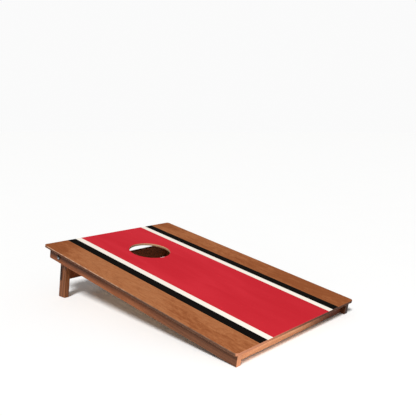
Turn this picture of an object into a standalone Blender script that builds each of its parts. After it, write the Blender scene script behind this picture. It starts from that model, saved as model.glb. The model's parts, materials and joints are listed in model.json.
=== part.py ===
"""Folding cornhole board, modelled piece by piece.

World frame: metres, +Z up, origin on the ground under the middle of the board. X runs across the
board, Y along it: the low front edge is at -Y and the high end with the bag hole is at +Y.

The board is laid out in its own tilted axes, held by the empty board_axes: x across, y along the
deck from its front edge, z square to the deck with z = 0 on the playing surface. The legs hang on
a second empty, leg_pivot, which sits on the fold axis.
"""

import math

import bmesh
import bpy
from mathutils import Matrix, Vector

# Gap between pieces that touch
GAP = 0.0003

# Deck: a plywood panel with rounded corners and one bag hole
DECK_WIDTH = 0.6096
DECK_LENGTH = 0.9144
DECK_THICK = 0.009
DECK_CORNER_R = 0.010
DECK_CORNER_STEPS = 6
HOLE_R = 0.0762
HOLE_FROM_BACK = 0.2286

# Frame of battens on edge under the deck
RAIL_THICK = 0.018
RAIL_HEIGHT = 0.038
SIDE_OVERHANG = 0.015
FRONT_OVERHANG = 0.006
BACK_OVERHANG = 0.018
FRONT_RAIL_RECESS = 0.016
BACK_RAIL_RECESS = 0.020

# Stance
TILT = math.radians(9.45)

# Folding legs and their brace
LEG_WIDTH = 0.036
LEG_THICK = 0.018
BRACE_TOP = -0.069
BRACE_HEIGHT = 0.056
BRACE_THICK = 0.012

# Pivot hardware: M6 carriage bolt, flat washers and lock nut
BOLT_R = 0.003
BOLT_LENGTH = 0.050
BOLT_CLEARANCE = 0.0003
BOLT_HEAD_R = 0.0083
BOLT_HEAD_HEIGHT = 0.0038
BOLT_HEAD_RIM = 0.0008
BOLT_TIP_CHAMFER = 0.0006
BOLT_NECK_SIDE = 0.0062
BOLT_NECK_LENGTH = 0.0036
WASHER_R = 0.008
WASHER_THICK = 0.0014
SPACER_THICK = 0.0030
NUT_FLATS = 0.010
NUT_HEX_HEIGHT = 0.0048
NUT_FACE_R = 0.00485
NUT_CHAMFER = 0.0005
NUT_COLLAR_R = 0.0047
NUT_COLLAR_HEIGHT = 0.0022
INSERT_R = 0.0039
INSERT_HEIGHT = 0.0018

# Hidden joinery: dowels across the rail corners, screws up into the deck and through the brace
DOWEL_R = 0.004
DOWEL_INTO_SIDE = 0.011
DOWEL_INTO_CROSS = 0.025
DOWEL_DROPS = (-0.0185, -0.0385)
SCREW_HEAD_R = 0.004
SCREW_SHANK_R = 0.002
SCREW_CONE = 0.0024
SCREW_TIP = 0.004
SCREW_CROSS_ARM = 0.0022
SCREW_CROSS_HALF = 0.0005
SCREW_CROSS_DEPTH = 0.0014
DECK_SCREW_LENGTH = 0.030
DECK_SCREW_BORE = 0.013
DECK_SCREW_BORE_R = 0.0048
DECK_SCREW_FROM_FRONT = 0.08
DECK_SCREW_FROM_PIVOT = 0.06
DECK_SCREW_CROSS_HALF = 0.19
BRACE_SCREW_LENGTH = 0.028

# Surface finish
WOOD_EDGE = 0.0008
DECK_EDGE = 0.0009
METAL_EDGE = 0.0003

# Sides counted on round work
HOLE_SIDES = 64
ROUND_SIDES = 24
SCREW_SIDES = 12
DOME_STEPS = 5
LEG_TOP_STEPS = 16

# Length of a cutter that goes right through a piece, in thicknesses of that piece
CUT_THROUGH = 3

# Places that follow from the driving dimensions, in the board's own axes
UNDERSIDE = -DECK_THICK - GAP
RAIL_BOTTOM = UNDERSIDE - RAIL_HEIGHT
RAIL_MIDDLE = UNDERSIDE - RAIL_HEIGHT / 2
RAIL_OUTER_X = DECK_WIDTH / 2 - SIDE_OVERHANG
RAIL_INNER_X = RAIL_OUTER_X - RAIL_THICK
RAIL_FRONT = FRONT_OVERHANG
RAIL_BACK = DECK_LENGTH - BACK_OVERHANG
FRONT_RAIL_Y = RAIL_FRONT + FRONT_RAIL_RECESS
BACK_RAIL_Y = RAIL_BACK - BACK_RAIL_RECESS - RAIL_THICK
PIVOT_Y = BACK_RAIL_Y - GAP - LEG_WIDTH / 2
PIVOT_Z = RAIL_MIDDLE
LEG_OUTER_X = RAIL_INNER_X - SPACER_THICK - 2 * GAP
LEG_INNER_X = LEG_OUTER_X - LEG_THICK
HOLE_Y = DECK_LENGTH - HOLE_FROM_BACK

# Where the board's axes sit in the world: front rail corners on the ground, box centred in Y
AXES_Y = -(DECK_LENGTH * math.cos(TILT) + DECK_THICK * math.sin(TILT)) / 2
AXES_Z = -RAIL_FRONT * math.sin(TILT) - RAIL_BOTTOM * math.cos(TILT)

# Colour, roughness and metallic value of each material
FINISHES = {
    "painted_ply": ((0.60, 0.024, 0.034), 0.45, 0.0),
    "stained_wood": ((0.38, 0.13, 0.045), 0.55, 0.0),
    "leg_wood": ((0.24, 0.10, 0.05), 0.55, 0.0),
    "dowel_wood": ((0.62, 0.45, 0.27), 0.7, 0.0),
    "dark_steel": ((0.05, 0.05, 0.055), 0.35, 1.0),
    "zinc_steel": ((0.55, 0.55, 0.56), 0.3, 1.0),
    "nylon": ((0.75, 0.75, 0.72), 0.5, 0.0),
}


def clear_scene():
    for item in list(bpy.data.objects):
        bpy.data.objects.remove(item)


def make_material(owner, finish):
    color, roughness, metallic = FINISHES[finish]
    material = bpy.data.materials.new(f"{owner}_{finish}")
    material.use_nodes = True
    shader = material.node_tree.nodes["Principled BSDF"]
    shader.inputs["Base Color"].default_value = (*color, 1.0)
    shader.inputs["Roughness"].default_value = roughness
    shader.inputs["Metallic"].default_value = metallic
    material.diffuse_color = (*color, 1.0)
    return material


def make_empty(name, location, parent=None, tilt=0.0):
    empty = bpy.data.objects.new(name, None)
    bpy.context.collection.objects.link(empty)
    empty.location = location
    empty.rotation_euler = (tilt, 0.0, 0.0)
    empty.parent = parent
    return empty


def make_object(name, bm, location, parent, finish=None):
    """Turn a bmesh into an object; with no finish it is a cutter, left out of the model."""
    bmesh.ops.recalc_face_normals(bm, faces=bm.faces)
    mesh = bpy.data.meshes.new(name)
    bm.to_mesh(mesh)
    bm.free()
    piece = bpy.data.objects.new(name, mesh)
    bpy.context.collection.objects.link(piece)
    piece.location = location
    piece.parent = parent
    if finish is None:
        piece.hide_render = True
        piece.display_type = "WIRE"
    else:
        mesh.materials.append(make_material(name, finish))
    return piece


def add_bevel(piece, width, segments=2):
    bevel = piece.modifiers.new("edges", "BEVEL")
    bevel.width = width
    bevel.segments = segments
    bevel.limit_method = "ANGLE"
    bevel.angle_limit = math.radians(40)


def cut(piece, *cutters):
    for cutter in cutters:
        boolean = piece.modifiers.new(cutter.name, "BOOLEAN")
        boolean.operation = "DIFFERENCE"
        boolean.solver = "EXACT"
        boolean.object = cutter


def smooth(piece, angle=35):
    piece.data.shade_smooth()
    piece.data.set_sharp_from_angle(angle=math.radians(angle))


def box_mesh(size):
    bm = bmesh.new()
    bmesh.ops.create_cube(bm, size=1.0)
    bmesh.ops.scale(bm, vec=size, verts=bm.verts)
    return bm


def prism_mesh(outline, axis, depth):
    """Extrude a closed outline, given in the plane square to axis, half of depth each way."""
    bm = bmesh.new()
    start = -depth / 2
    if axis == "X":
        points = [(start, a, b) for a, b in outline]
        push = Vector((depth, 0, 0))
    else:
        points = [(a, b, start) for a, b in outline]
        push = Vector((0, 0, depth))
    face = bm.faces.new([bm.verts.new(point) for point in points])
    extruded = bmesh.ops.extrude_face_region(bm, geom=[face])
    moved = [item for item in extruded["geom"] if isinstance(item, bmesh.types.BMVert)]
    bmesh.ops.translate(bm, vec=push, verts=moved)
    return bm


def turned_mesh(profile, sides):
    """Turn a profile of (radius, height) points about Z, closed on the axis or as a ring.

    A radius may be a function of the angle, for a ring that isn't round.
    """
    bm = bmesh.new()
    rings = []
    for radius, height in profile:
        if radius == 0:
            rings.append([bm.verts.new((0, 0, height))])
            continue
        ring = []
        for step in range(sides):
            angle = 2 * math.pi * step / sides
            reach = radius(angle) if callable(radius) else radius
            ring.append(bm.verts.new((reach * math.cos(angle), reach * math.sin(angle), height)))
        rings.append(ring)
    is_ring = all(len(ring) > 1 for ring in rings)
    pairs = list(zip(rings, rings[1:]))
    if is_ring:
        pairs.append((rings[-1], rings[0]))
    for low, high in pairs:
        for step in range(sides):
            after = (step + 1) % sides
            corners = [low[step % len(low)], low[after % len(low)],
                       high[after % len(high)], high[step % len(high)]]
            bm.faces.new(list(dict.fromkeys(corners)))
    return bm


def merge_copies(source, places, turn):
    """Copy one mesh to each place, turned the same way, as the separate teeth of one cutter."""
    joined = bmesh.new()
    for place in places:
        first = len(joined.verts)
        joined.from_mesh(source)
        joined.verts.ensure_lookup_table()
        matrix = Matrix.Translation(place) @ turn
        bmesh.ops.transform(joined, matrix=matrix, verts=joined.verts[first:])
    return joined


def arc_points(centre, radius, start_deg, end_deg, steps):
    points = []
    for step in range(steps + 1):
        angle = math.radians(start_deg + (end_deg - start_deg) * step / steps)
        points.append((centre[0] + radius * math.cos(angle), centre[1] + radius * math.sin(angle)))
    return points


def rod_mesh(radius, length):
    """A plain rod along X, about its own middle."""
    bm = bmesh.new()
    bmesh.ops.create_cone(bm, cap_ends=True, segments=ROUND_SIDES, radius1=radius, radius2=radius,
                          depth=length, matrix=Matrix.Rotation(math.pi / 2, 4, "Y"))
    return bm


def screw_profile(length, grow=0.0, bore=0.0):
    """Countersunk wood screw, head up at z = 0 and tip down; grow makes its clearance hole."""
    top = []
    if bore:
        top = [(0, bore), (DECK_SCREW_BORE_R, bore), (DECK_SCREW_BORE_R, grow)]
    elif grow:
        top = [(0, 2 * grow), (SCREW_HEAD_R + grow, 2 * grow)]
    else:
        top = [(0, 0)]
    return top + [
        (SCREW_HEAD_R + grow, 0),
        (SCREW_SHANK_R + grow, -SCREW_CONE - grow),
        (SCREW_SHANK_R + grow, -length + SCREW_TIP),
        (0, -length - grow),
    ]


def screw_mesh(name, length):
    """One screw with a cross recess in its head, as a mesh for every copy to share."""
    turned = turned_mesh(screw_profile(length), SCREW_SIDES)
    shape = make_object("screw_blank", turned, (0, 0, 0), None)
    arm = SCREW_CROSS_ARM
    half = SCREW_CROSS_HALF
    outline = [(arm, -half), (arm, half), (half, half), (half, arm), (-half, arm), (-half, half),
               (-arm, half), (-arm, -half), (-half, -half), (-half, -arm), (half, -arm),
               (half, -half)]
    recess = make_object("screw_recess", prism_mesh(outline, "Z", 2 * SCREW_CROSS_DEPTH),
                         (0, 0, 0), None)
    cut(shape, recess)
    graph = bpy.context.evaluated_depsgraph_get()
    mesh = bpy.data.meshes.new_from_object(shape.evaluated_get(graph))
    for helper in (shape, recess):
        bpy.data.objects.remove(helper)
    mesh.materials.append(make_material(name, "zinc_steel"))
    return mesh


def place_screws(name, mesh, places, turn, parent):
    """One object for each screw, all sharing the same mesh."""
    for number, place in enumerate(places, start=1):
        screw = bpy.data.objects.new(f"{name}_{number}", mesh)
        bpy.context.collection.objects.link(screw)
        screw.location = place
        screw.rotation_euler = turn.to_euler()
        screw.parent = parent


def hole_mesh(length, bore=0.0):
    """The clearance hole of one screw, as a mesh to copy."""
    bm = turned_mesh(screw_profile(length, grow=GAP, bore=bore), SCREW_SIDES)
    mesh = bpy.data.meshes.new("screw_hole")
    bm.to_mesh(mesh)
    bm.free()
    return mesh


def make_deck(axes):
    half_x = DECK_WIDTH / 2 - DECK_CORNER_R
    low_y = DECK_CORNER_R - DECK_LENGTH / 2
    high_y = -low_y
    steps = DECK_CORNER_STEPS
    outline = arc_points((half_x, high_y), DECK_CORNER_R, 0, 90, steps)
    outline += arc_points((-half_x, high_y), DECK_CORNER_R, 90, 180, steps)
    outline += arc_points((-half_x, low_y), DECK_CORNER_R, 180, 270, steps)
    outline += arc_points((half_x, low_y), DECK_CORNER_R, 270, 360, steps)
    middle = (0, DECK_LENGTH / 2, -DECK_THICK / 2)
    deck = make_object("deck_panel", prism_mesh(outline, "Z", DECK_THICK), middle, axes,
                       "painted_ply")
    bm = bmesh.new()
    bmesh.ops.create_cone(bm, cap_ends=True, segments=HOLE_SIDES, radius1=HOLE_R, radius2=HOLE_R,
                          depth=CUT_THROUGH * DECK_THICK)
    cut(deck, make_object("bag_hole_cutter", bm, (0, HOLE_Y, -DECK_THICK / 2), axes))
    add_bevel(deck, DECK_EDGE)
    smooth(deck)
    return deck


def make_side_rail(side, x_sign, axes):
    length = RAIL_BACK - RAIL_FRONT
    centre = (x_sign * (RAIL_INNER_X + RAIL_THICK / 2), RAIL_FRONT + length / 2, RAIL_MIDDLE)
    rail = make_object(f"side_rail_{side}", box_mesh((RAIL_THICK, length, RAIL_HEIGHT)), centre,
                       axes, "stained_wood")
    add_bevel(rail, WOOD_EDGE)
    return rail


def make_cross_rail(name, front_y, axes):
    width = 2 * (RAIL_INNER_X - GAP)
    centre = (0, front_y + RAIL_THICK / 2, RAIL_MIDDLE)
    rail = make_object(name, box_mesh((width, RAIL_THICK, RAIL_HEIGHT)), centre, axes,
                       "stained_wood")
    add_bevel(rail, WOOD_EDGE)
    return rail


def ground_drop(leg_y):
    """Height of the ground below the pivot, at leg_y along the board from the pivot."""
    along = PIVOT_Y + leg_y
    return (-AXES_Z - along * math.sin(TILT)) / math.cos(TILT) - PIVOT_Z


def make_leg(side, x_sign, pivot):
    """A batten with a round top about the pivot and a foot cut level with the ground."""
    half = LEG_WIDTH / 2
    outline = arc_points((0, 0), half, 0, 180, LEG_TOP_STEPS)
    outline += [(-half, ground_drop(-half)), (half, ground_drop(half))]
    centre_x = x_sign * (LEG_OUTER_X - LEG_THICK / 2)
    leg = make_object(f"leg_{side}", prism_mesh(outline, "X", LEG_THICK), (centre_x, 0, 0), pivot,
                      "leg_wood")
    add_bevel(leg, WOOD_EDGE)
    bore = make_object(f"leg_bore_cutter_{side}",
                       rod_mesh(BOLT_R + BOLT_CLEARANCE, CUT_THROUGH * LEG_THICK),
                       (centre_x, 0, 0), pivot)
    cut(leg, bore)
    smooth(leg)
    return leg


def make_brace(legs, pivot):
    """A flat board let into the back edges of both legs and flush with them."""
    middle_y = LEG_WIDTH / 2 - BRACE_THICK / 2
    middle_z = BRACE_TOP - BRACE_HEIGHT / 2 - PIVOT_Z
    brace = make_object("leg_brace", box_mesh((2 * LEG_OUTER_X, BRACE_THICK, BRACE_HEIGHT)),
                        (0, middle_y, middle_z), pivot, "leg_wood")
    add_bevel(brace, WOOD_EDGE)
    notch_size = (CUT_THROUGH * LEG_OUTER_X, BRACE_THICK + 2 * GAP, BRACE_HEIGHT + 2 * GAP)
    notch = make_object("brace_notch_cutter", box_mesh(notch_size), (0, middle_y, middle_z), pivot)
    for leg in legs.values():
        cut(leg, notch)
    return brace


def make_brace_screws(side, x_sign, leg, brace, screw, pivot):
    """Two screws through the brace into each leg, heads flush with the brace's back face."""
    centre_x = x_sign * (LEG_OUTER_X - LEG_THICK / 2)
    head_y = LEG_WIDTH / 2 - GAP
    middle_z = BRACE_TOP - BRACE_HEIGHT / 2 - PIVOT_Z
    head_back = Matrix.Rotation(-math.pi / 2, 4, "X")
    places = [(centre_x, head_y, middle_z + step * BRACE_HEIGHT / 4) for step in (1, -1)]
    place_screws(f"brace_screw_{side}", screw, places, head_back, pivot)
    holes = merge_copies(hole_mesh(BRACE_SCREW_LENGTH), places, head_back)
    cutter = make_object(f"brace_screw_{side}_cutter", holes, (0, 0, 0), pivot)
    cut(leg, cutter)
    cut(brace, cutter)


def make_pivot_bolt(side, x_sign, rail, axes):
    """Carriage bolt: round head on the rail's outer face, square neck let into the wood."""
    head_base = GAP
    rise = BOLT_HEAD_HEIGHT - BOLT_HEAD_RIM
    dome = []
    for step in range(DOME_STEPS + 1):
        angle = math.pi / 2 * step / DOME_STEPS
        radius = BOLT_HEAD_R * math.cos(angle) if step < DOME_STEPS else 0
        dome.append((radius, head_base + BOLT_HEAD_RIM + rise * math.sin(angle)))
    profile = [(0, -BOLT_LENGTH), (BOLT_R - BOLT_TIP_CHAMFER, -BOLT_LENGTH),
               (BOLT_R, -BOLT_LENGTH + BOLT_TIP_CHAMFER), (BOLT_R, head_base),
               (BOLT_HEAD_R, head_base)]
    out = Matrix.Rotation(x_sign * math.pi / 2, 4, "Y")
    bm = turned_mesh(profile + dome, ROUND_SIDES)
    bmesh.ops.transform(bm, matrix=out, verts=bm.verts)
    place = (x_sign * RAIL_OUTER_X, PIVOT_Y, PIVOT_Z)
    bolt = make_object(f"pivot_bolt_{side}", bm, place, axes, "dark_steel")

    neck_top = head_base + BOLT_HEAD_RIM / 2
    neck_reach = BOLT_NECK_LENGTH + neck_top
    neck_x = place[0] + x_sign * (neck_top - neck_reach / 2)
    neck = make_object(f"bolt_neck_{side}",
                       box_mesh((neck_reach, BOLT_NECK_SIDE, BOLT_NECK_SIDE)),
                       (neck_x, PIVOT_Y, PIVOT_Z), axes)
    union = bolt.modifiers.new("neck", "BOOLEAN")
    union.operation = "UNION"
    union.solver = "EXACT"
    union.object = neck
    smooth(bolt)

    socket_side = BOLT_NECK_SIDE + 2 * GAP
    socket_depth = BOLT_NECK_LENGTH + GAP
    socket = make_object(f"neck_socket_cutter_{side}",
                         box_mesh((2 * socket_depth, socket_side, socket_side)), place, axes)
    bore = make_object(f"rail_bore_cutter_{side}",
                       rod_mesh(BOLT_R + BOLT_CLEARANCE, CUT_THROUGH * RAIL_THICK), place, axes)
    cut(rail, bore, socket)


def make_washer(name, x_sign, centre_x, thick, axes):
    """Flat ring on the bolt, about its own middle at centre_x."""
    bore_r = BOLT_R + BOLT_CLEARANCE
    half = thick / 2
    bm = turned_mesh([(bore_r, -half), (WASHER_R, -half), (WASHER_R, half), (bore_r, half)],
                     ROUND_SIDES)
    bmesh.ops.transform(bm, matrix=Matrix.Rotation(math.pi / 2, 4, "Y"), verts=bm.verts)
    washer = make_object(name, bm, (x_sign * centre_x, PIVOT_Y, PIVOT_Z), axes, "zinc_steel")
    smooth(washer)


def hexagon_radius(angle):
    """Distance from a nut's axis to its six flats, at an angle about the axis."""
    sixth = math.pi / 3
    return NUT_FLATS / 2 / math.cos(angle % sixth - sixth / 2)


def make_lock_nut(side, x_sign, face_x, axes):
    """Hexagon nut whose collar holds a nylon ring; face_x is its bearing face."""
    bore_r = BOLT_R + BOLT_CLEARANCE
    inward = Matrix.Rotation(-x_sign * math.pi / 2, 4, "Y")
    place = (x_sign * face_x, PIVOT_Y, PIVOT_Z)
    top = NUT_HEX_HEIGHT + NUT_COLLAR_HEIGHT
    pocket_floor = top - INSERT_HEIGHT - GAP
    profile = [(bore_r, 0), (NUT_FACE_R, 0), (hexagon_radius, NUT_CHAMFER),
               (hexagon_radius, NUT_HEX_HEIGHT - NUT_CHAMFER), (NUT_FACE_R, NUT_HEX_HEIGHT),
               (NUT_COLLAR_R, NUT_HEX_HEIGHT), (NUT_COLLAR_R, top - METAL_EDGE),
               (NUT_COLLAR_R - METAL_EDGE, top), (INSERT_R + GAP, top),
               (INSERT_R + GAP, pocket_floor), (bore_r, pocket_floor)]
    bm = turned_mesh(profile, ROUND_SIDES)
    bmesh.ops.transform(bm, matrix=inward, verts=bm.verts)
    smooth(make_object(f"lock_nut_{side}", bm, place, axes, "zinc_steel"), 25)

    ring_bm = turned_mesh([(bore_r, top - INSERT_HEIGHT), (INSERT_R, top - INSERT_HEIGHT),
                           (INSERT_R, top), (bore_r, top)], ROUND_SIDES)
    bmesh.ops.transform(ring_bm, matrix=inward, verts=ring_bm.verts)
    smooth(make_object(f"nut_insert_{side}", ring_bm, place, axes, "nylon"))


def make_dowels(end, side, x_sign, cross_rail, side_rail, axes):
    """Two glued dowels across one rail corner, blind in the side rail."""
    reach = DOWEL_INTO_SIDE + DOWEL_INTO_CROSS
    centre_x = x_sign * (RAIL_INNER_X + (DOWEL_INTO_SIDE - DOWEL_INTO_CROSS) / 2)
    for number, drop in enumerate(DOWEL_DROPS, start=1):
        name = f"dowel_{end}_{side}_{number}"
        centre = (centre_x, cross_rail.location.y, drop)
        dowel = make_object(name, rod_mesh(DOWEL_R, reach), centre, axes, "dowel_wood")
        smooth(dowel)
        cutter = make_object(f"{name}_cutter", rod_mesh(DOWEL_R + GAP, reach + 2 * GAP), centre,
                             axes)
        cut(side_rail, cutter)
        cut(cross_rail, cutter)


def make_deck_screws(place_name, points, rail, deck, screw, axes):
    """Screws driven up through counterbored holes in one rail into the deck."""
    name = f"deck_screw_{place_name}"
    head_z = RAIL_BOTTOM + DECK_SCREW_BORE
    head_down = Matrix.Rotation(math.pi, 4, "X")
    places = [(x, y, head_z) for x, y in points]
    place_screws(name, screw, places, head_down, axes)
    hole = hole_mesh(DECK_SCREW_LENGTH, bore=DECK_SCREW_BORE + GAP)
    cutter = make_object(f"{name}_cutter", merge_copies(hole, places, head_down), (0, 0, 0), axes)
    cut(rail, cutter)
    cut(deck, cutter)


def spread(low, high, count):
    return [low + (high - low) * step / (count - 1) for step in range(count)]


def build():
    clear_scene()
    axes = make_empty("board_axes", (0, AXES_Y, AXES_Z), tilt=TILT)
    pivot = make_empty("leg_pivot", (0, PIVOT_Y, PIVOT_Z), parent=axes)
    sides = {"left": -1, "right": 1}

    deck = make_deck(axes)
    side_rails = {side: make_side_rail(side, sign, axes) for side, sign in sides.items()}
    cross_rails = {"front": make_cross_rail("front_rail", FRONT_RAIL_Y, axes),
                   "back": make_cross_rail("back_rail", BACK_RAIL_Y, axes)}
    legs = {side: make_leg(side, sign, pivot) for side, sign in sides.items()}
    brace = make_brace(legs, pivot)

    brace_screw = screw_mesh("brace_screw", BRACE_SCREW_LENGTH)
    deck_screw = screw_mesh("deck_screw", DECK_SCREW_LENGTH)
    spacer_x = RAIL_INNER_X - GAP - SPACER_THICK / 2
    inner_x = LEG_INNER_X - GAP - WASHER_THICK / 2
    nut_x = LEG_INNER_X - 2 * GAP - WASHER_THICK
    for side, sign in sides.items():
        make_brace_screws(side, sign, legs[side], brace, brace_screw, pivot)
        make_pivot_bolt(side, sign, side_rails[side], axes)
        make_washer(f"leg_spacer_{side}", sign, spacer_x, SPACER_THICK, axes)
        make_washer(f"flat_washer_{side}", sign, inner_x, WASHER_THICK, axes)
        make_lock_nut(side, sign, nut_x, axes)
        for end, cross_rail in cross_rails.items():
            make_dowels(end, side, sign, cross_rail, side_rails[side], axes)

        rail_x = sign * (RAIL_INNER_X + RAIL_THICK / 2)
        screw_ys = spread(RAIL_FRONT + DECK_SCREW_FROM_FRONT, PIVOT_Y - DECK_SCREW_FROM_PIVOT, 4)
        make_deck_screws(side, [(rail_x, y) for y in screw_ys], side_rails[side], deck,
                         deck_screw, axes)
    for end, cross_rail in cross_rails.items():
        screw_xs = spread(-DECK_SCREW_CROSS_HALF, DECK_SCREW_CROSS_HALF, 3)
        make_deck_screws(end, [(x, cross_rail.location.y) for x in screw_xs], cross_rail, deck,
                         deck_screw, axes)


build()
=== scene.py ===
"""Looks of the folding cornhole board: painted plywood, stained battens and plated hardware.

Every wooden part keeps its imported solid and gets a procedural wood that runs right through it, so
faces, edges and end grain agree. The pivot bolts are rebuilt here with real threads.
"""

import json
import math
from typing import Callable, NamedTuple

import bmesh
import bpy
from mathutils import Matrix, Vector


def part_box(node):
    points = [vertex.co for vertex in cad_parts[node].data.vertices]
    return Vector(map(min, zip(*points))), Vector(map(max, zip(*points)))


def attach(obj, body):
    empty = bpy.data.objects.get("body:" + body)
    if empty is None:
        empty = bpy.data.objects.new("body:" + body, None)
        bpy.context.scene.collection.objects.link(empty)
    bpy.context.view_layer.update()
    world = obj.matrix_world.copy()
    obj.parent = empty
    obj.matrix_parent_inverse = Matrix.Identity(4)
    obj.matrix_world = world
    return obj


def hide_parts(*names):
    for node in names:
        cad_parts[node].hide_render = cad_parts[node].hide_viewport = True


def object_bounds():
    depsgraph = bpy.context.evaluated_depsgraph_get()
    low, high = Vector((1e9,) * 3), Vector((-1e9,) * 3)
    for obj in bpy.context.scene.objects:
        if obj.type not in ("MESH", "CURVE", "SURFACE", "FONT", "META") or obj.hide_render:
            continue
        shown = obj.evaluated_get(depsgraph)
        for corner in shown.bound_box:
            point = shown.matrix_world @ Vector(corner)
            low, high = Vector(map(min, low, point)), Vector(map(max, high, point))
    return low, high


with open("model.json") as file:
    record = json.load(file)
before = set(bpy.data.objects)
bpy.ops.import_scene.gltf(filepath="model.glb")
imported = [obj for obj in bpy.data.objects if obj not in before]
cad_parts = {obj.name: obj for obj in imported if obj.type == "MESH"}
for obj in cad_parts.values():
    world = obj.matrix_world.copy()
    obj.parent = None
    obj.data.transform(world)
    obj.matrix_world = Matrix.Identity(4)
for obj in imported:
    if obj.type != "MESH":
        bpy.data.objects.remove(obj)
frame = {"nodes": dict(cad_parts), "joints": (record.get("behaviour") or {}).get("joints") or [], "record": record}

CAD_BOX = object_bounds()

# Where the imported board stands
MOUNTS = {mount["name"]: mount for mount in frame["record"]["mounts"]}
DECK_POINT = Vector(MOUNTS["playing_surface"]["pos_m"])
DECK_NORMAL = Vector(MOUNTS["playing_surface"]["axis"])
TILT = math.atan2(-DECK_NORMAL.y, DECK_NORMAL.z)
PIVOT = Vector(frame["joints"][0]["pos_m"])

# The board's own axes start at its front edge, on the playing surface
FRONT_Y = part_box("deck_panel")[0].y
FRONT_Z = DECK_POINT.z + (DECK_POINT.y - FRONT_Y) * DECK_NORMAL.y / DECK_NORMAL.z
BOARD_SHIFT = -(Matrix.Rotation(-TILT, 3, "X") @ Vector((0, FRONT_Y, FRONT_Z)))

# Deck and its bag hole
DECK_THICK = 0.009
HOLE_RADIUS = 0.0762
HOLE_PLACE = 0.6858
PLIES = 7
LONG_EDGE_FROM = 0.296  # out from the centre line, where the look of the long edges begins
LONG_EDGE_FULL = 0.302

# Painted stripes: half-widths from the board's centre line, and how soft their edges are
RED_HALF = 0.148
CREAM_HALF = 0.172
BLACK_HALF = 0.207
STRIPE_SOFT = 0.00025
BLEED = 0.0006

# Linear colours of the paints, then of the same paints where the grain shows through them
RED = (0.575, 0.0165, 0.029)
RED_BRIGHT = (0.630, 0.0235, 0.038)
RED_ON_GRAIN = (0.42, 0.011, 0.019)
RED_SHADED_LOW_END = (0.50, 0.0140, 0.023)
CREAM = (0.93, 0.86, 0.76)
CREAM_ON_GRAIN = (0.70, 0.61, 0.51)
CREAM_ON_RIDGE = (0.74, 0.66, 0.58)
BLACK = (0.0030, 0.0018, 0.0012)
BLACK_ON_GRAIN = (0.009, 0.0060, 0.0047)
BLACK_ON_RIDGE = (0.010, 0.0068, 0.0055)

# Linear colours of the deck's wood: pale, middle and dark where there are three
STAINED_VENEER = ((0.450, 0.176, 0.069), (0.370, 0.115, 0.036), (0.235, 0.064, 0.018))
RAW_VENEER = ((0.66, 0.46, 0.28), (0.61, 0.415, 0.245), (0.52, 0.335, 0.185))
BESIDE_PAINT = (0.56, 0.215, 0.082)
RAW_PLIES = ((0.70, 0.47, 0.29), (0.40, 0.225, 0.12))
RAW_PLIES_SHADED = (0.20, 0.085, 0.038)
STAINED_PLIES = ((0.23, 0.078, 0.036), (0.145, 0.044, 0.018))
SHADED_LOW_PLIES = (0.050, 0.015, 0.007)
FRONT_EDGE_LIT = (0.47, 0.19, 0.10)
FRONT_EDGE_SHADED = (0.045, 0.012, 0.0055)
RUBBED_LIT_ARRIS = (0.60, 0.40, 0.27)

# Linear colours of the battens: pale early wood, dark late wood and bare wood on worn edges
RAIL_TONES = ((0.300, 0.098, 0.037), (0.190, 0.055, 0.019), (0.38, 0.16, 0.08))
# The front rail's pale tones are partly painted light, partly the wood's own colour
FRONT_TONES = ((0.68, 0.325, 0.165), (0.54, 0.210, 0.098), (0.68, 0.36, 0.20))
LEG_TONES = ((0.225, 0.078, 0.027), (0.085, 0.024, 0.007), (0.25, 0.100, 0.042))
BRACE_TONES = ((0.175, 0.045, 0.014), (0.095, 0.021, 0.006), (0.28, 0.11, 0.050))
BEECH_TONES = ((0.66, 0.48, 0.30), (0.52, 0.35, 0.20), (0.70, 0.53, 0.34))

# Linear colours of painted shade on parts of the rails, laid into their stain
SHADED_RAIL = (0.038, 0.0120, 0.0052)
GREYED_SHADED_RAIL = (0.048, 0.030, 0.020)
SHADED_FRONT = (0.080, 0.016, 0.007)

WOOD_ROUGHNESS = 0.50
WEAR_WIDTH = 0.0012
PLATING_WEAR_WIDTH = 0.0005

# Pivot bolts, with heights along the bolt measured outward from the side rail's face
BOLT_SIDES = 36
DOME_STEPS = 9
HEAD_BASE = 0.0003
HEAD_RIM = 0.0009
HEAD_RIM_LOW = 0.0002
HEAD_RIM_INSET = 0.00015
HEAD_FACE_INSET = 0.0005
NECK_HALF = 0.00305
NECK_CORNER = 1.36
NECK_END = -0.0035
NECK_TAPER = 0.0004
SHANK_R = 0.00298
ROOT_R = 0.00252
THREAD_START = -0.024
PITCH = 0.001
STEPS_PER_TURN = 6
TIP_TAPER = 0.0006
TIP_R = ROOT_R - 0.0002
SMOOTH_ANGLE = math.radians(38)

# Painted highlight on a bolt head: a bright patch laid into the coating, placed from the bolt's axis
GLINT_FORWARD = 0.0016
GLINT_DOWN = 0.0018
GLINT_RAGGED = 0.0012
GLINT_RADIUS = 0.0030
GLINT_FULL_RADIUS = 0.0016

CAMERA_PLACE = (-1.3654, -1.3276, 0.6391)
CAMERA_TURN = (81.14, -0.205, -47.30)
CAMERA_LENS = 48.87
CAMERA_SENSOR = 36.0

SKY_LIGHT = 0.27
SKY_GLOSS = 0.05
SKY_SEEN = 0.96
KEY_LIGHT = 3.25
KEY_FROM = (-0.60, -0.34, 0.76)
KEY_SPREAD = math.radians(14)
CORNER_LIGHT = 4.0
CORNER_PLACE = (-0.50, -1.20, 0.10)
CORNER_AIM = (-0.15, -0.4, 0.02)
CORNER_SIZE = (0.5, 0.16)
FLOOR_RADIUS = 30.0
FLOOR_DROP = 0.0004
FLOOR_TONES = ((0.965, 0.965, 0.96), (0.975, 0.975, 0.97))


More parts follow.
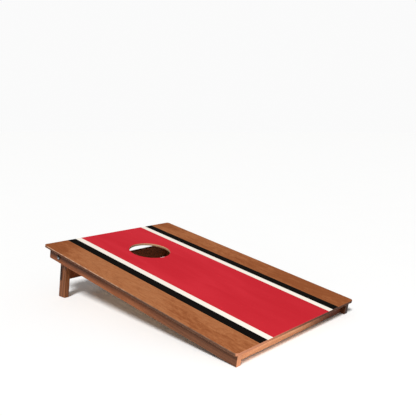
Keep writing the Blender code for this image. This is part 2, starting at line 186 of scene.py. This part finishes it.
class Graph:
    """A material's node tree with short calls for the nodes used here."""

    def __init__(self, name):
        self.material = bpy.data.materials.new(name)
        self.material.use_nodes = True
        self.tree = self.material.node_tree
        self.shader = self.tree.nodes["Principled BSDF"]

    def node(self, kind, inputs=(), **settings):
        made = self.tree.nodes.new(kind)
        for key, value in settings.items():
            setattr(made, key, value)
        for key, value in dict(inputs).items():
            self.feed(made.inputs[key], value)
        return made

    def feed(self, socket, value):
        if isinstance(value, bpy.types.NodeSocket):
            self.tree.links.new(value, socket)
        elif isinstance(value, tuple) and socket.type == "RGBA":
            socket.default_value = (*value, 1.0)
        else:
            socket.default_value = value

    def math(self, operation, *values, clamp=False):
        inputs = dict(enumerate(values))
        made = self.node("ShaderNodeMath", inputs, operation=operation, use_clamp=clamp)
        return made.outputs[0]

    def total(self, first, *others, clamp=False):
        for value in others[:-1]:
            first = self.math("ADD", first, value)
        return self.math("ADD", first, others[-1], clamp=clamp)

    def less(self, first, second):
        return self.math("SUBTRACT", first, second)

    def product(self, first, *others):
        for value in others:
            first = self.math("MULTIPLY", first, value)
        return first

    def largest(self, first, *others):
        for value in others:
            first = self.math("MAXIMUM", first, value)
        return first

    def length(self, first, second):
        """Length of the arrow with these two components."""
        return self.math("SQRT", self.total(self.product(first, first),
                                            self.product(second, second)))

    def mix(self, factor, first, second):
        made = self.node("ShaderNodeMix", {"Factor": factor}, data_type="RGBA")
        self.feed(made.inputs[6], first)
        self.feed(made.inputs[7], second)
        return made.outputs[2]

    def span(self, value, low, high, to_low=0.0, to_high=1.0):
        """Map value from low..high to to_low..to_high with soft ends, held outside."""
        inputs = {"Value": value, "From Min": low, "From Max": high, "To Min": to_low,
                  "To Max": to_high}
        made = self.node("ShaderNodeMapRange", inputs, interpolation_type="SMOOTHSTEP")
        return made.outputs["Result"]

    def noise(self, vector, scale=1.0, detail=3.0, rough=0.5, distort=0.0):
        inputs = {"Vector": vector, "Scale": scale, "Detail": detail, "Roughness": rough,
                  "Distortion": distort}
        return self.node("ShaderNodeTexNoise", inputs).outputs["Fac"]

    def drawn_noise(self, point, stretch, **settings):
        """Noise drawn out by scaling each axis; a fixed third coordinate picks a flat layer."""
        return self.noise(self.stretched(point, stretch), **settings)

    def stretched(self, point, stretch):
        scaled = []
        for value, scale in zip(point, stretch):
            scaled.append(self.product(value, scale) if scale != 1 else value)
        return self.join(*scaled)

    def sway(self, noise, width):
        """A drift of this width in all, to either side of nothing."""
        return self.product(self.less(noise, 0.5), width)

    def place(self, vector, location=(0, 0, 0), rotation=(0, 0, 0), scale=(1, 1, 1)):
        inputs = {"Vector": vector, "Location": location, "Rotation": rotation, "Scale": scale}
        return self.node("ShaderNodeMapping", inputs).outputs["Vector"]

    def split(self, vector):
        return self.node("ShaderNodeSeparateXYZ", {"Vector": vector}).outputs

    def join(self, x, y, z):
        return self.node("ShaderNodeCombineXYZ", {"X": x, "Y": y, "Z": z}).outputs["Vector"]

    def rest_axes(self):
        """World coordinates at rest, which ride with the part."""
        return self.node("ShaderNodeTexCoord").outputs["Object"]

    def board_axes(self):
        """Coordinates that ride with the part: x across, y along the deck, z = 0 on its top."""
        return self.place(self.rest_axes(), location=BOARD_SHIFT, rotation=(-TILT, 0, 0))

    def bump(self, height, distance):
        inputs = {"Height": height, "Distance": distance, "Strength": 1.0}
        return self.node("ShaderNodeBump", inputs).outputs["Normal"]

    def edge_mask(self, radius):
        """1 along the arrises of the part, 0 on its flats."""
        rounded = self.node("ShaderNodeBevel", {"Radius": radius}, samples=4).outputs["Normal"]
        flat = self.node("ShaderNodeNewGeometry").outputs["Normal"]
        inputs = {0: rounded, 1: flat}
        turn = self.node("ShaderNodeVectorMath", inputs, operation="DOT_PRODUCT").outputs["Value"]
        return self.span(turn, 0.995, 0.90)

    def end_grain(self, grain):
        """1 on faces cut across the grain, 0 on faces along it."""
        at_rest = self.node("ShaderNodeTexCoord").outputs["Normal"]
        turned = self.place(at_rest, rotation=(-TILT, 0, 0))
        facing = self.split(turned)["XYZ".index(grain)]
        return self.span(self.math("ABSOLUTE", facing), 0.75, 0.95)

    def finish(self, **inputs):
        for key, value in inputs.items():
            self.feed(self.shader.inputs[key.replace("_", " ")], value)
        return self.material


class Timber(NamedTuple):
    """How one piece of wood is cut and stained."""

    grain: str  # the board axis that the timber's length runs along
    heart: tuple  # where the tree's heart lies in the plane square to the grain
    tones: tuple
    offset: float = 0.0  # where along the trunk the piece comes from
    ring: float = 0.0035  # width of a year's growth
    contrast: float = 0.62
    end_tone: tuple | None = None
    end_cover: float = 0.6
    # the next field gives painted shade laid over the timber's colour
    painted_shade: Callable | None = None  # gives pairs of cover and linear colour, in order
    specular: float = 0.22


def dimmed(tone, share):
    return tuple(share * channel for channel in tone)


def grain_first(graph, axes, grain):
    """Turn the axes so that the timber's length runs along Y."""
    x, y, z = graph.split(axes)
    orders = {"X": (y, x, z), "Y": (x, y, z), "Z": (x, z, y)}
    return orders[grain]


def solid_wood(name, timber):
    """Stained softwood with growth rings about its heart, fibres, pores and worn arrises."""
    graph = Graph(name)
    across, along, up = grain_first(graph, graph.board_axes(), timber.grain)
    along = graph.total(along, timber.offset)
    point = (across, along, up)

    lean = graph.sway(graph.drawn_noise(point, (9.0, 1.6, 9.0), detail=2.0), 0.035)
    radius = graph.length(graph.total(graph.less(across, timber.heart[0]), lean),
                          graph.less(up, timber.heart[1]))
    fibre_space = graph.stretched(point, (620.0, 16.0, 620.0))
    fibre = graph.noise(fibre_space, detail=4.0, rough=0.6)
    years = graph.total(graph.math("DIVIDE", radius, timber.ring), graph.sway(fibre, 0.5))
    phase = graph.math("FRACT", years)
    growth = graph.product(graph.span(phase, 0.15, 0.82), graph.span(phase, 1.0, 0.90))
    pore_noise = graph.drawn_noise(point, (1500.0, 70.0, 1500.0), detail=1.0)
    pores = graph.span(pore_noise, 0.62, 0.74)
    blotch = graph.drawn_noise(point, (26.0, 5.0, 26.0), rough=0.6, distort=0.4)

    pale, dark, bare = timber.tones
    share = graph.total(graph.product(growth, timber.contrast),
                        graph.span(fibre, 0.30, 0.75, -0.12, 0.30),
                        graph.span(blotch, 0.35, 0.70, -0.15, 0.28), clamp=True)
    color = graph.mix(share, pale, dark)
    color = graph.mix(graph.product(pores, 0.45), color, dimmed(dark, 0.35))
    # Painted shade, where the timber has it
    if timber.painted_shade is not None:
        for cover, tone in timber.painted_shade(graph):
            color = graph.mix(cover, color, tone)
    cut_across = graph.product(graph.end_grain(timber.grain), timber.end_cover)
    color = graph.mix(cut_across, color, timber.end_tone or dimmed(dark, 0.42))
    patchy = graph.span(graph.noise(fibre_space, scale=0.2, detail=2.0), 0.42, 0.66, 0.22, 0.72)
    wear = graph.product(graph.edge_mask(WEAR_WIDTH), patchy)
    color = graph.mix(wear, color, bare)

    relief = graph.less(graph.product(fibre, 0.5), graph.product(pores, 0.6))
    relief = graph.less(relief, graph.product(growth, 0.25))
    gloss = graph.total(graph.span(fibre, 0.3, 0.7, WOOD_ROUGHNESS - 0.06, WOOD_ROUGHNESS + 0.10),
                        graph.product(wear, 0.2))
    return graph.finish(Base_Color=color, Roughness=gloss, Normal=graph.bump(relief, 0.00022),
                        Specular_IOR_Level=timber.specular)


def cathedral_arches(graph, x, y):
    """Nested arches down the middle of each side strip, from 0 to 0.5 and back."""
    strip_middle = 0.252
    wander = graph.less(graph.drawn_noise((x, y, 0.4), (7.0, 2.6, 1), distort=0.3), 0.5)
    off_middle = graph.total(graph.less(graph.math("ABSOLUTE", x), strip_middle),
                             graph.product(wander, 0.035))
    arch = graph.product(off_middle, off_middle, 75.0)
    height = graph.total(y, arch, graph.product(wander, 0.55))
    return graph.math("PINGPONG", graph.product(height, 17.0), 0.5)


def veneer(graph, x, y, tones, shade=None):
    """Sliced veneer: arches, figure, fleck, pores and clouding; its colour, fibre and relief."""
    pale, middle, dark = tones
    arches = cathedral_arches(graph, x, y)
    cloud = graph.drawn_noise((x, y, 8.1), (10.0, 4.0, 1), distort=0.6)
    mottle = graph.drawn_noise((x, y, 3.7), (85.0, 38.0, 1), detail=4.0, rough=0.65, distort=0.9)
    figure = graph.drawn_noise((x, y, 6.6), (95.0, 11.0, 1), rough=0.55, distort=0.8)
    fleck = graph.drawn_noise((x, y, 2.2), (420.0, 190.0, 1), detail=2.0, rough=0.6)
    fibre = graph.drawn_noise((x, y, 1.3), (900.0, 22.0, 1), detail=4.0, rough=0.6)
    dash_noise = graph.drawn_noise((x, y, 5.9), (1300.0, 90.0, 1), detail=1.0)
    dashes = graph.span(dash_noise, 0.60, 0.74)
    streaks = graph.span(graph.drawn_noise((x, y, 4.4), (330.0, 26.0, 1), rough=0.6), 0.52, 0.72)

    share = graph.span(cloud, 0.36, 0.66, 0.10, 0.90)
    if shade is not None:
        share = graph.total(graph.math("MULTIPLY_ADD", share, 0.50, 0.12), shade)
    share = graph.total(share, graph.span(mottle, 0.30, 0.72, -0.20, 0.20),
                        graph.span(figure, 0.32, 0.68, -0.15, 0.17), clamp=True)
    color = graph.mix(share, pale, middle)
    color = graph.mix(graph.span(share, 0.42, 1.05, 0.0, 0.68), color, dark)
    color = graph.mix(graph.span(arches, 0.10, 0.0, 0.0, 0.30), color, pale)
    color = graph.mix(graph.span(arches, 0.36, 0.50, 0.0, 0.30), color, dark)
    color = graph.mix(graph.span(fleck, 0.48, 0.72, 0.0, 0.30), color, dark)
    color = graph.mix(graph.span(fleck, 0.46, 0.28, 0.0, 0.25), color, pale)
    color = graph.mix(graph.span(fibre, 0.45, 0.78, 0.0, 0.36), color, dark)
    color = graph.mix(graph.product(streaks, 0.55), color, dark)
    color = graph.mix(graph.product(dashes, 0.42), color, dimmed(dark, 0.45))
    relief = graph.less(graph.product(fibre, 0.6), graph.product(dashes, 0.7))
    return color, fibre, relief


def leaf_shade(graph, x, y):
    """How far the veneer leans to the dark, partly painted shade: at the high left corner, low down and on the
    right.
    """
    left = graph.span(x, 0.05, -0.05)
    corner = graph.product(graph.span(y, 0.74, 0.86), left, 0.50)
    low_end = graph.span(y, 0.34, 0.06, 0.0, 0.30)
    right = graph.span(x, -0.05, 0.05, 0.0, 0.36)
    return graph.total(corner, low_end, right)


def ply_edge(graph, x, y, z, tones):
    """Stacked veneers seen edge on, alternate plies turned across each other."""
    pale, dark = tones
    depth = graph.product(graph.math("DIVIDE", z, -DECK_THICK), float(PLIES))
    level = graph.total(depth, graph.sway(graph.drawn_noise((x, y, 0.0), (34.0, 34.0, 1)), 0.35))
    turned = graph.math("PINGPONG", level, 1.0)
    glue = graph.span(graph.math("PINGPONG", level, 0.5), 0.07, 0.0)
    speck = graph.drawn_noise((x, y, z), (900.0, 900.0, 1600.0))
    streak = graph.drawn_noise((x, y, z), (70.0, 70.0, 2200.0))
    color = graph.mix(graph.span(turned, 0.30, 0.70), pale, dark)
    color = graph.mix(graph.span(speck, 0.40, 0.72, 0.0, 0.40), color, dimmed(dark, 0.6))
    color = graph.mix(graph.span(streak, 0.45, 0.75, 0.0, 0.35), color, dimmed(dark, 0.8))
    color = graph.mix(graph.product(glue, 0.55), color, dimmed(dark, 0.35))
    relief = graph.less(graph.product(speck, 0.5), graph.product(glue, 0.6))
    return color, relief


def outer_edge(graph, x, y, z):
    """Stained plies: painted shade low down and, greyer, on the left; painted light to shade along the front; a
    rubbed top ply with a painted highlight.
    """
    color, _ = ply_edge(graph, x, y, z, STAINED_PLIES)
    # Painted shade: the lower plies of the long edges darken towards the back, below the lit arris
    lower = graph.span(z, -0.0020, -0.0056, 0.0, 0.70)
    sides = graph.product(graph.span(y, 0.01, 0.55), graph.span(y, 0.914, 0.885, 0.2, 1.0))
    color = graph.mix(graph.product(lower, sides), color, SHADED_LOW_PLIES)
    # Painted shade: the left edge turns greyer and darker towards the front, as the left rail does
    dull = graph.product(graph.span(x, -LONG_EDGE_FROM, -LONG_EDGE_FULL),
                         graph.span(y, 0.66, 0.30, 0.0, 0.60))
    color = graph.mix(dull, color, GREYED_SHADED_RAIL)
    # Painted light and shade along the front edge: paler to the left, dark to the right
    front = graph.span(y, 0.006, 0.003)
    lit_front_left = graph.product(front, graph.span(x, 0.02, -0.22, 0.0, 0.75))
    color = graph.mix(lit_front_left, color, FRONT_EDGE_LIT)
    shaded_front_right = graph.product(front, graph.span(x, -0.06, 0.16, 0.0, 0.90))
    color = graph.mix(shaded_front_right, color, FRONT_EDGE_SHADED)

    # The rubbed top ply is wear and also a painted highlight along the arris, strongest on the long edges towards
    # the back
    rub_noise = graph.drawn_noise((x, y, 9.0), (55.0, 55.0, 1), detail=4.0, rough=0.6)
    rub = graph.span(rub_noise, 0.36, 0.62, 0.35, 1.0)
    long_side = graph.span(graph.math("ABSOLUTE", x), LONG_EDGE_FROM, LONG_EDGE_FULL)
    worn_and_lit = graph.total(0.08, graph.product(long_side, graph.span(y, 0.30, 0.70, 0.10, 0.72)))
    top_ply = graph.span(z, -0.0040, -0.0028)
    return graph.mix(graph.product(rub, worn_and_lit, top_ply, 0.95), color, RUBBED_LIT_ARRIS)


def deck_edges(graph, x, y, z):
    """Colour and relief of the deck's edges: raw plies in the bag hole, stained ones outside."""
    raw, relief = ply_edge(graph, x, y, z, RAW_PLIES)
    # Painted shade: the raw plies darken lower down the bag hole's wall
    hole_shade = graph.span(z, -0.0026, -0.0066, 0.0, 0.72)
    raw = graph.mix(hole_shade, raw, RAW_PLIES_SHADED)
    from_hole = graph.length(x, graph.less(y, HOLE_PLACE))
    in_hole = graph.span(from_hole, HOLE_RADIUS + 0.006, HOLE_RADIUS + 0.003)
    return graph.mix(in_hole, outer_edge(graph, x, y, z), raw), relief


def paint_colors(graph, x, y, fibre):
    """The three paints, each taking a little of the grain below it."""
    sweep = graph.drawn_noise((x, y, 6.0), (13.0, 2.6, 1), rough=0.55, distort=0.5)
    ridge = graph.drawn_noise((x, y, 7.0), (420.0, 1.5, 1), detail=2.0, rough=0.7)
    red = graph.mix(graph.span(sweep, 0.35, 0.68), RED, RED_BRIGHT)
    red = graph.mix(graph.span(fibre, 0.42, 0.80, 0.0, 0.14), red, RED_ON_GRAIN)
    # Painted shade: the red deepens towards the board's low front end
    red = graph.mix(graph.span(y, 0.42, 0.02, 0.0, 0.45), red, RED_SHADED_LOW_END)
    cream = graph.mix(graph.span(fibre, 0.42, 0.78, 0.0, 0.20), CREAM, CREAM_ON_GRAIN)
    cream = graph.mix(graph.span(ridge, 0.50, 0.68, 0.0, 0.35), cream, CREAM_ON_RIDGE)
    black = graph.mix(graph.span(fibre, 0.40, 0.75, 0.0, 0.5), BLACK, BLACK_ON_GRAIN)
    black = graph.mix(graph.span(ridge, 0.46, 0.66, 0.0, 0.55), black, BLACK_ON_RIDGE)
    return red, cream, black


def striped_top(graph, x, y, wood, fibre):
    """Colour of the playing surface, and how much of each stripe lies at a point."""
    bleed = graph.sway(graph.drawn_noise((x, y, 0.0), (300.0, 420.0, 1)), BLEED)
    reach = graph.total(graph.math("ABSOLUTE", x), bleed)
    in_stripe = [graph.span(reach, half + STRIPE_SOFT, half - STRIPE_SOFT)
                 for half in (RED_HALF, CREAM_HALF, BLACK_HALF)]
    red, cream, black = paint_colors(graph, x, y, fibre)
    beside_black = graph.span(reach, BLACK_HALF + 0.0032, BLACK_HALF + 0.0012, 0.0, 0.42)
    color = graph.mix(beside_black, wood, BESIDE_PAINT)
    color = graph.mix(in_stripe[2], color, black)
    color = graph.mix(in_stripe[1], color, cream)
    color = graph.mix(in_stripe[0], color, red)
    return color, in_stripe


def top_height(graph, x, y, relief, in_stripe):
    """Relief of the playing surface: open grain, rolled paint, and a step at each stripe."""
    in_red, in_cream, in_black = in_stripe
    stipple = graph.drawn_noise((x, y, 2.0), (420.0, 420.0, 1), detail=2.0)
    painted = graph.total(graph.product(relief, 0.35), graph.product(stipple, 0.55))
    height = graph.total(graph.product(relief, graph.less(1.0, in_black)),
                         graph.product(painted, in_black))
    steps = graph.product(graph.total(in_cream, in_red, in_black), 0.35)
    return graph.total(height, steps)


def deck_gloss(graph, x, y, fibre, painted, on_top):
    """Roughness: satin paint with scuffs, duller wood, dull edges and underside."""
    scuff_noise = graph.drawn_noise((x, y, 4.0), (60.0, 9.0, 1), detail=5.0, rough=0.7)
    paint_gloss = graph.span(scuff_noise, 0.45, 0.75, 0.36, 0.50)
    wood_gloss = graph.span(fibre, 0.3, 0.7, 0.42, 0.54)
    return graph.total(graph.product(paint_gloss, painted),
                       graph.product(wood_gloss, graph.less(1.0, painted)),
                       graph.product(graph.less(1.0, on_top), 0.22))


def deck_material():
    """Striped paint over stained veneer on top, raw veneer below, stacked plies at the edges."""
    graph = Graph("painted_deck")
    x, y, z = graph.split(graph.board_axes())
    wood, fibre, relief = veneer(graph, x, y, STAINED_VENEER, leaf_shade(graph, x, y))
    top, in_stripe = striped_top(graph, x, y, wood, fibre)
    side, side_relief = deck_edges(graph, x, y, z)
    another_leaf = graph.total(x, 3.0)
    raw, _, raw_relief = veneer(graph, another_leaf, y, RAW_VENEER)

    on_top = graph.span(z, -0.0008, -0.0004)
    below = graph.span(z, -DECK_THICK + 0.0006, -DECK_THICK + 0.0002)
    color = graph.mix(on_top, side, top)
    color = graph.mix(below, color, raw)
    height = graph.total(
        graph.product(top_height(graph, x, y, relief, in_stripe), on_top),
        graph.product(side_relief, graph.less(1.0, on_top)),
        graph.product(raw_relief, below))
    painted = graph.product(in_stripe[2], on_top)
    return graph.finish(Base_Color=color, Normal=graph.bump(height, 0.00012),
                        Roughness=deck_gloss(graph, x, y, fibre, painted, on_top),
                        Specular_IOR_Level=0.18)


def painted_glint(graph, spot):
    """1 on the small patch of the bolt head that holds the painted highlight."""
    _, y, z = graph.split(spot)
    distance = graph.length(graph.less(y, PIVOT.y - GLINT_FORWARD),
                            graph.less(z, PIVOT.z - GLINT_DOWN))
    ragged = graph.product(graph.noise(spot, scale=900.0), GLINT_RAGGED)
    return graph.span(graph.total(distance, ragged), GLINT_RADIUS, GLINT_FULL_RADIUS)


def metal(name, base, dull, rough, glint_tone=None):
    """Plated steel: cloudy plating, fine scratches and bright worn arrises."""
    graph = Graph(name)
    spot = graph.rest_axes()
    cloud = graph.noise(spot, scale=180.0, detail=4.0, rough=0.6)
    scratches = graph.noise(graph.place(spot, scale=(1, 1, 6)), scale=2080.0, rough=0.7)
    color = graph.mix(graph.span(cloud, 0.38, 0.70), base, dull)
    bright = tuple(min(1.0, 1.6 * channel + 0.12) for channel in base)
    color = graph.mix(graph.product(graph.edge_mask(PLATING_WEAR_WIDTH), 0.55), color, bright)
    # Painted highlight on the bolt heads, where a tone for it is given
    if glint_tone is not None:
        color = graph.mix(painted_glint(graph, spot), color, glint_tone)
    gloss = graph.total(graph.span(cloud, 0.3, 0.7, rough - 0.05, rough + 0.12),
                        graph.product(scratches, 0.08))
    return graph.finish(Base_Color=color, Metallic=1.0, Roughness=gloss,
                        Normal=graph.bump(scratches, 0.00004))


def nylon_material():
    graph = Graph("nut_nylon")
    cloud = graph.noise(graph.rest_axes(), scale=700.0)
    color = graph.mix(cloud, (0.80, 0.80, 0.77), (0.62, 0.62, 0.58))
    return graph.finish(Base_Color=color, Roughness=graph.span(cloud, 0.3, 0.7, 0.38, 0.52),
                        Normal=graph.bump(cloud, 0.00005), Subsurface_Weight=0.1)


def shade_under_deck(graph):
    """Painted shadow of the deck along the top of a rail, in the corner below the deck."""
    x, y, z = graph.split(graph.board_axes())
    drift = graph.sway(graph.drawn_noise((x, y, 2.0), (20.0, 7.0, 1)), 0.012)
    band = graph.span(graph.total(z, drift), -0.050, -0.024)
    return graph.product(band, graph.span(y, 0.20, 0.72, 0.05, 0.76))


def shaded_left_rail(graph):
    """Painted shade on the left rail: its dark top widens towards its back end, and its front half is greyer and
    darker.
    """
    _, y, z = graph.split(graph.board_axes())
    back_end = graph.product(graph.span(z, -0.048, -0.020, 0.25, 1.0),
                             graph.span(y, 0.76, 0.89, 0.0, 0.88))
    dull = graph.span(y, 0.52, 0.16, 0.0, 0.60)
    return ((dull, GREYED_SHADED_RAIL), (graph.largest(shade_under_deck(graph), back_end), SHADED_RAIL))


def shaded_far_end(graph):
    """Painted shade towards the right end of the front rail, and along its top from the middle."""
    x, _, z = graph.split(graph.board_axes())
    top = graph.product(graph.span(z, -0.030, -0.012), graph.span(x, -0.22, 0.10, 0.0, 0.45))
    return ((graph.largest(top, graph.span(x, -0.04, 0.22, 0.0, 0.97)), SHADED_FRONT),)


def shaded_right_rail(graph):
    """Painted shade on the right rail: dark along its top, and darker still towards its front end."""
    y = graph.split(graph.board_axes())[1]
    return ((graph.largest(shade_under_deck(graph), graph.span(y, 0.16, 0.04, 0.0, 0.94)), SHADED_RAIL),)


TIMBERS = {
    # Painted light and shade on the rails' front end grain: pale on the left rail, near black on the right
    "side_rail_left": Timber("Y", (-0.36, -0.055), RAIL_TONES, end_tone=(0.64, 0.27, 0.135),
                             end_cover=0.80, painted_shade=shaded_left_rail, specular=0.12),
    "side_rail_right": Timber("Y", (0.345, -0.062), RAIL_TONES, offset=4.3,
                              end_tone=(0.030, 0.009, 0.004), end_cover=0.85,
                              painted_shade=shaded_right_rail, specular=0.12),
    "front_rail": Timber("X", (-0.52, -0.075), FRONT_TONES, offset=7.1, contrast=0.45,
                         painted_shade=shaded_far_end, specular=0.12),
    "back_rail": Timber("X", (0.50, 0.02), RAIL_TONES, offset=11.7),
    "leg_left": Timber("Z", (-0.33, 0.81), LEG_TONES, offset=2.9, ring=0.0065, contrast=0.9,
                       specular=0.14),
    "leg_right": Timber("Z", (0.31, 0.87), LEG_TONES, offset=5.3, ring=0.0060, contrast=0.9,
                        specular=0.14),
    "leg_brace": Timber("X", (0.90, -0.31), BRACE_TONES, offset=9.2,
                        end_tone=(0.016, 0.006, 0.003), end_cover=0.92, specular=0.10),
}
DOWEL_TIMBER = Timber("X", (0.1, 0.05), BEECH_TONES, ring=0.0016)


def dress(node, material):
    """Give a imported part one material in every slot."""
    slots = frame["nodes"][node].data.materials
    if not slots:
        slots.append(material)
    for index in range(len(slots)):
        slots[index] = material


def dress_wood():
    dress("deck_panel", deck_material())
    for node, timber in TIMBERS.items():
        dress(node, solid_wood(f"{node}_wood", timber))
    dowel_wood = solid_wood("dowel_wood", DOWEL_TIMBER)
    for node in frame["nodes"]:
        if node.startswith("dowel_"):
            dress(node, dowel_wood)


def dress_hardware():
    zinc = metal("zinc_plate", (0.62, 0.62, 0.63), (0.42, 0.42, 0.43), 0.30)
    nylon = nylon_material()
    for node in frame["nodes"]:
        if node.startswith(("deck_screw_", "brace_screw_", "flat_washer_", "leg_spacer_",
                            "lock_nut_")):
            dress(node, zinc)
        elif node.startswith("nut_insert_"):
            dress(node, nylon)


def add_ring(bm, radius, height):
    """Points round Z at one height; radius is a number, or a function of the angle."""
    points = []
    for step in range(BOLT_SIDES):
        angle = 2 * math.pi * step / BOLT_SIDES
        reach = radius(angle) if callable(radius) else radius
        points.append(bm.verts.new((reach * math.cos(angle), reach * math.sin(angle), height)))
    return points


def square_neck(angle):
    """Radius of the carriage bolt's square neck, with its corners cut round."""
    quarter = math.pi / 2
    turn = (angle + quarter / 2) % quarter - quarter / 2
    return min(NECK_HALF / math.cos(turn), NECK_HALF * NECK_CORNER)


def thread_radius(turns, depth):
    """Radius as a function of the angle, so many turns down a thread cut to this share."""
    def radius(angle):
        wave = abs(((angle / (2 * math.pi) + turns) % 1.0) * 2 - 1)
        wave = min(1.0, max(0.0, 1.25 * wave - 0.1))
        return SHANK_R - depth * (SHANK_R - ROOT_R) * wave
    return radius


def bolt_profile(head_r, crown, tip):
    """Radius and height of each ring, from just below the crown of the dome to the tip."""
    dome_base = HEAD_BASE + HEAD_RIM
    rings = []
    for step in range(1, DOME_STEPS):
        angle = math.pi / 2 * (1 - step / DOME_STEPS)
        rings.append((head_r * math.cos(angle), dome_base + (crown - dome_base) * math.sin(angle)))
    rings += [(head_r, dome_base), (head_r - HEAD_RIM_INSET, HEAD_BASE + HEAD_RIM_LOW),
              (head_r - HEAD_FACE_INSET, HEAD_BASE)]
    rings += [(square_neck, HEAD_BASE), (square_neck, NECK_END)]
    rings += [(SHANK_R, NECK_END - NECK_TAPER), (SHANK_R, THREAD_START)]
    steps = int((THREAD_START - tip - TIP_TAPER) / PITCH * STEPS_PER_TURN)
    for step in range(1, steps + 1):
        depth = min(1.0, step / (2.0 * STEPS_PER_TURN), (steps + 3 - step) / (1.2 * STEPS_PER_TURN))
        rings.append((thread_radius(step / STEPS_PER_TURN, depth),
                      THREAD_START - step * PITCH / STEPS_PER_TURN))
    rings.append((TIP_R, tip))
    return rings


def bolt_mesh(name, profile, crown):
    """A closed mesh with the bolt's axis on Z and its head up."""
    bm = bmesh.new()
    rings = [add_ring(bm, radius, height) for radius, height in profile]
    for first, second in zip(rings, rings[1:]):
        for step in range(BOLT_SIDES):
            after = (step + 1) % BOLT_SIDES
            bm.faces.new((first[step], second[step], second[after], first[after]))
    crown_point = bm.verts.new((0, 0, crown))
    for step in range(BOLT_SIDES):
        bm.faces.new((crown_point, rings[0][step], rings[0][(step + 1) % BOLT_SIDES]))
    bm.faces.new(rings[-1][::-1])
    bmesh.ops.recalc_face_normals(bm, faces=bm.faces)
    mesh = bpy.data.meshes.new(name)
    bm.to_mesh(mesh)
    bm.free()
    return mesh


def threaded_bolt(name, side, material):
    """Carriage bolt with a domed head, a square neck and a rolled thread on its inner half."""
    low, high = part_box(f"pivot_bolt_{side}")
    rail_low, rail_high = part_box(f"side_rail_{side}")
    outward = 1 if side == "right" else -1
    seat = max(abs(rail_low.x), abs(rail_high.x))
    tip = min(abs(low.x), abs(high.x)) - seat
    crown = max(abs(low.x), abs(high.x)) - seat
    head_r = (high.y - low.y) / 2

    mesh = bolt_mesh(name, bolt_profile(head_r, crown, tip), crown)
    turn = Matrix.Rotation(outward * math.pi / 2, 4, "Y")
    tilt = Matrix.Rotation(TILT, 4, "X")
    shift = Matrix.Translation((outward * seat, PIVOT.y, PIVOT.z))
    mesh.transform(shift @ tilt @ turn)
    mesh.shade_smooth()
    mesh.set_sharp_from_angle(angle=SMOOTH_ANGLE)
    mesh.materials.append(material)
    bolt = bpy.data.objects.new(name, mesh)
    bpy.context.scene.collection.objects.link(bolt)
    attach(bolt, "frame")
    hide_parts(f"pivot_bolt_{side}")


def make_bolts():
    # The bright patch on each head is a painted highlight
    dark = metal("dark_plate", (0.095, 0.100, 0.110), (0.040, 0.041, 0.045), 0.18,
                 glint_tone=(0.80, 0.80, 0.82))
    for side in ("left", "right"):
        threaded_bolt(f"threaded_bolt_{side}", side, dark)


def make_world():
    """White behind the board, a dim soft sky for lighting it, dimmer still for its reflections."""
    world = bpy.data.worlds.new("studio")
    bpy.context.scene.world = world
    world.use_nodes = True
    nodes = world.node_tree.nodes
    links = world.node_tree.links
    ray = nodes.new("ShaderNodeLightPath")
    shader = nodes["Background"].outputs[0]
    nodes["Background"].inputs["Color"].default_value = (1, 1, 1, 1)
    nodes["Background"].inputs["Strength"].default_value = SKY_LIGHT
    for seen_by, strength in (("Is Glossy Ray", SKY_GLOSS), ("Is Camera Ray", SKY_SEEN)):
        sky = nodes.new("ShaderNodeBackground")
        sky.inputs["Color"].default_value = (1, 1, 1, 1)
        sky.inputs["Strength"].default_value = strength
        choose = nodes.new("ShaderNodeMixShader")
        links.new(ray.outputs[seen_by], choose.inputs[0])
        links.new(shader, choose.inputs[1])
        links.new(sky.outputs[0], choose.inputs[2])
        shader = choose.outputs[0]
    links.new(shader, nodes["World Output"].inputs["Surface"])


def make_floor():
    """A wide disc of white paper just below the board's feet."""
    bm = bmesh.new()
    bmesh.ops.create_circle(bm, cap_ends=True, segments=96, radius=FLOOR_RADIUS)
    mesh = bpy.data.meshes.new("studio_floor")
    bm.to_mesh(mesh)
    bm.free()
    floor = bpy.data.objects.new("studio_floor", mesh)
    bpy.context.scene.collection.objects.link(floor)
    floor.location.z = CAD_BOX[0].z - FLOOR_DROP
    graph = Graph("studio_paper")
    cloud = graph.noise(graph.rest_axes(), scale=3.0, detail=2.0)
    color = graph.mix(cloud, *FLOOR_TONES)
    mesh.materials.append(graph.finish(Base_Color=color, Roughness=0.9, Specular_IOR_Level=0.1))


def add_lamp(name, kind, power):
    data = bpy.data.lights.new(name, kind)
    data.energy = power
    lamp = bpy.data.objects.new(name, data)
    bpy.context.scene.collection.objects.link(lamp)
    return lamp


def make_lights():
    """A soft key from the left, and a low panel that lights the rails but isn't mirrored."""
    key = add_lamp("key", "SUN", KEY_LIGHT)
    key.data.angle = KEY_SPREAD
    key.rotation_euler = Vector(KEY_FROM).to_track_quat("Z", "Y").to_euler()
    corner = add_lamp("corner", "AREA", CORNER_LIGHT)
    corner.data.shape = "RECTANGLE"
    corner.data.size, corner.data.size_y = CORNER_SIZE
    corner.location = CORNER_PLACE
    towards = Vector(CORNER_AIM) - Vector(CORNER_PLACE)
    corner.rotation_euler = towards.to_track_quat("-Z", "Y").to_euler()
    corner.visible_camera = False
    corner.visible_glossy = False


def make_camera():
    data = bpy.data.cameras.new("camera")
    data.lens = CAMERA_LENS
    data.sensor_width = CAMERA_SENSOR
    camera = bpy.data.objects.new("camera", data)
    bpy.context.scene.collection.objects.link(camera)
    camera.location = CAMERA_PLACE
    camera.rotation_euler = [math.radians(angle) for angle in CAMERA_TURN]
    bpy.context.scene.camera = camera


def main():
    bpy.context.scene.view_settings.view_transform = "Standard"
    make_camera()
    make_floor()
    make_world()
    make_lights()
    dress_wood()
    dress_hardware()
    make_bolts()


main()
